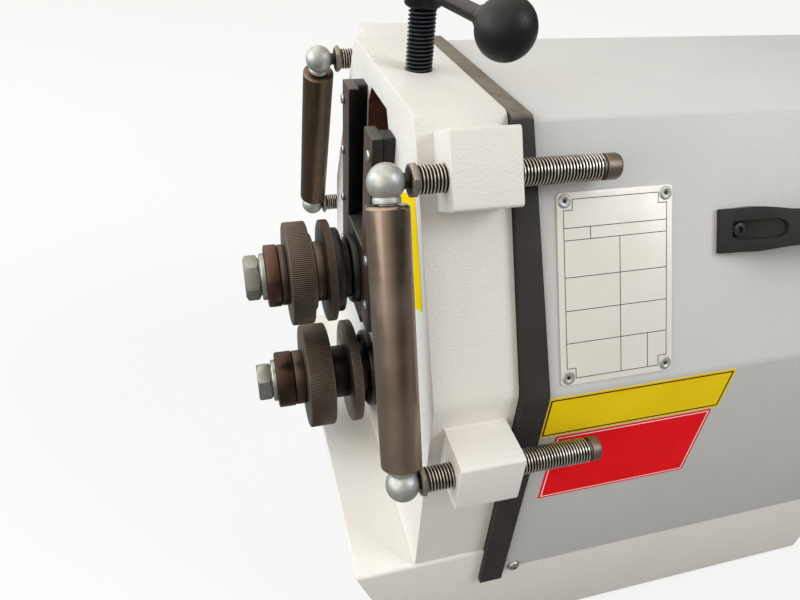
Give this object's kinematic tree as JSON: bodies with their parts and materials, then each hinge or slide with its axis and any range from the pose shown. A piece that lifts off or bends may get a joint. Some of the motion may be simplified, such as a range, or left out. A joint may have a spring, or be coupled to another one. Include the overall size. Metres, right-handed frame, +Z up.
{
  "type": "ring roller",
  "caption": "Powered bench ring roller: driven lower roll, screw-down upper roll, leaning guide rollers on threaded rods, cast head, sheet cover.",
  "frame": {"origin": "on the floor under the middle of the base plate", "axes": "+Z up, -Y the front with the rolls, +X the near side with the nameplate; the roll shafts run along Y"},
  "size_m": [0.389, 0.5398, 0.513],
  "materials": {
    "cream_paint": "textured cream paint on cast iron",
    "grey_paint": "textured light grey paint on folded sheet",
    "black_rubber": "black rubber edge trim",
    "black_plastic": "black moulded plastic",
    "black_steel": "blacked steel with bright worn edges",
    "burnished_steel": "hardened steel, burnished brown",
    "bronze": "orange-brown bronze",
    "zinc_steel": "satin zinc plate",
    "machined_steel": "plain machined steel",
    "motor_paint": "grey enamel"
  },
  "bodies": {
    "frame": {"base_casting": "cream_paint", "base_plate": "zinc_steel", "head_casting": "cream_paint", "cover": "grey_paint", "back_panel": "grey_paint", "edge_strip": "black_rubber", "nameplate": "zinc_steel", "near_handle": "black_plastic", "far_handle": "black_plastic", "cable_gland": "black_plastic", "near_guide_spacer": "black_steel", "far_guide_spacer": "black_steel", "near_guide_plate": "burnished_steel", "far_guide_plate": "burnished_steel", "near_rear_keeper": "machined_steel", "far_rear_keeper": "machined_steel", "screw_nut": "bronze", "lower_cap": "black_steel", "lower_front_bearing": "machined_steel", "lower_rear_bearing": "machined_steel", "gearbox": "motor_paint", "motor": "motor_paint"},
    "carriage": {"slide_block": "black_steel", "screw_retainer": "machined_steel", "upper_bush": "bronze", "upper_cap": "black_steel"},
    "press": {"press_screw": "black_steel", "lever_arm": "black_steel", "near_knob": "black_plastic", "far_knob": "black_plastic"},
    "upper_roll": {"upper_shaft": "black_steel", "upper_drum": "burnished_steel", "upper_thin_disc": "burnished_steel", "upper_wide_wheel": "burnished_steel", "upper_spacer_ring": "black_steel", "upper_collar": "bronze", "upper_washer": "zinc_steel", "upper_bolt": "zinc_steel", "upper_locknut": "machined_steel"},
    "lower_roll": {"lower_shaft": "black_steel", "lower_disc": "burnished_steel", "lower_sleeve": "black_steel", "lower_wide_wheel": "burnished_steel", "lower_spacer_ring": "black_steel", "lower_collar": "bronze", "lower_washer": "zinc_steel", "lower_bolt": "zinc_steel", "drive_gear": "machined_steel", "lower_locknut": "machined_steel"},
    "pinion": {"drive_pinion": "machined_steel"},
    "near_guide": {"near_upper_ball": "zinc_steel", "near_lower_ball": "zinc_steel"},
    "near_roller": {"near_guide_roller": "burnished_steel"},
    "near_upper_adjuster": {"near_upper_rod": "black_steel"},
    "near_lower_adjuster": {"near_lower_rod": "black_steel"},
    "far_guide": {"far_upper_ball": "zinc_steel", "far_lower_ball": "zinc_steel"},
    "far_roller": {"far_guide_roller": "burnished_steel"},
    "far_upper_adjuster": {"far_upper_rod": "black_steel"},
    "far_lower_adjuster": {"far_lower_rod": "black_steel"}
  },
  "joints": [
    {"name": "press_slide", "type": "slide", "parent": "frame", "child": "carriage", "axis": [0, 0, 1], "range_m": [-0.024, 0.06]},
    {"name": "screw_turn", "type": "hinge", "parent": "carriage", "child": "press", "pos_m": [0, -0.1832, 0.497], "axis": [0, 0, 1], "range_deg": [-3457, 8641]},
    {"name": "upper_roll_spin", "type": "hinge", "parent": "carriage", "child": "upper_roll", "pos_m": [0, -0.255, 0.295], "axis": [0, 1, 0], "continuous": true},
    {"name": "lower_roll_spin", "type": "hinge", "parent": "frame", "child": "lower_roll", "pos_m": [0, -0.255, 0.1856], "axis": [0, 1, 0], "continuous": true},
    {"name": "pinion_spin", "type": "hinge", "parent": "frame", "child": "pinion", "pos_m": [0.06235, -0.1355, 0.2216], "axis": [0, 1, 0], "continuous": true},
    {"name": "near_guide_travel", "type": "slide", "parent": "frame", "child": "near_guide", "axis": [0, 1, 0], "range_m": [-0.05, 0.009]},
    {"name": "near_upper_rod_turn", "type": "hinge", "parent": "near_guide", "child": "near_upper_adjuster", "pos_m": [0.1119, -0.2325, 0.42365], "axis": [0, 1, 0], "range_deg": [-9001, 1621]},
    {"name": "near_lower_rod_turn", "type": "hinge", "parent": "near_guide", "child": "near_lower_adjuster", "pos_m": [0.1811, -0.2325, 0.2576], "axis": [0, 1, 0], "range_deg": [-9001, 1621]},
    {"name": "near_roller_spin", "type": "hinge", "parent": "near_guide", "child": "near_roller", "pos_m": [0.1465, -0.2325, 0.34062], "axis": [0.3847, 0, -0.9231], "continuous": true},
    {"name": "far_guide_travel", "type": "slide", "parent": "frame", "child": "far_guide", "axis": [0, 1, 0], "range_m": [-0.05, 0.009]},
    {"name": "far_upper_rod_turn", "type": "hinge", "parent": "far_guide", "child": "far_upper_adjuster", "pos_m": [-0.1119, -0.2325, 0.42365], "axis": [0, 1, 0], "range_deg": [-9001, 1621]},
    {"name": "far_lower_rod_turn", "type": "hinge", "parent": "far_guide", "child": "far_lower_adjuster", "pos_m": [-0.1811, -0.2325, 0.2576], "axis": [0, 1, 0], "range_deg": [-9001, 1621]},
    {"name": "far_roller_spin", "type": "hinge", "parent": "far_guide", "child": "far_roller", "pos_m": [-0.1465, -0.2325, 0.34062], "axis": [-0.3847, 0, -0.9231], "continuous": true}
  ],
  "couplings": [
    {"joint": "screw_turn", "follows": "press_slide", "rad_per_m": 2513.3},
    {"joint": "pinion_spin", "follows": "lower_roll_spin", "ratio": -2.4286},
    {"joint": "near_upper_rod_turn", "follows": "near_guide_travel", "rad_per_m": 3141.6},
    {"joint": "near_lower_rod_turn", "follows": "near_guide_travel", "rad_per_m": 3141.6},
    {"joint": "far_upper_rod_turn", "follows": "far_guide_travel", "rad_per_m": 3141.6},
    {"joint": "far_lower_rod_turn", "follows": "far_guide_travel", "rad_per_m": 3141.6}
  ]
}
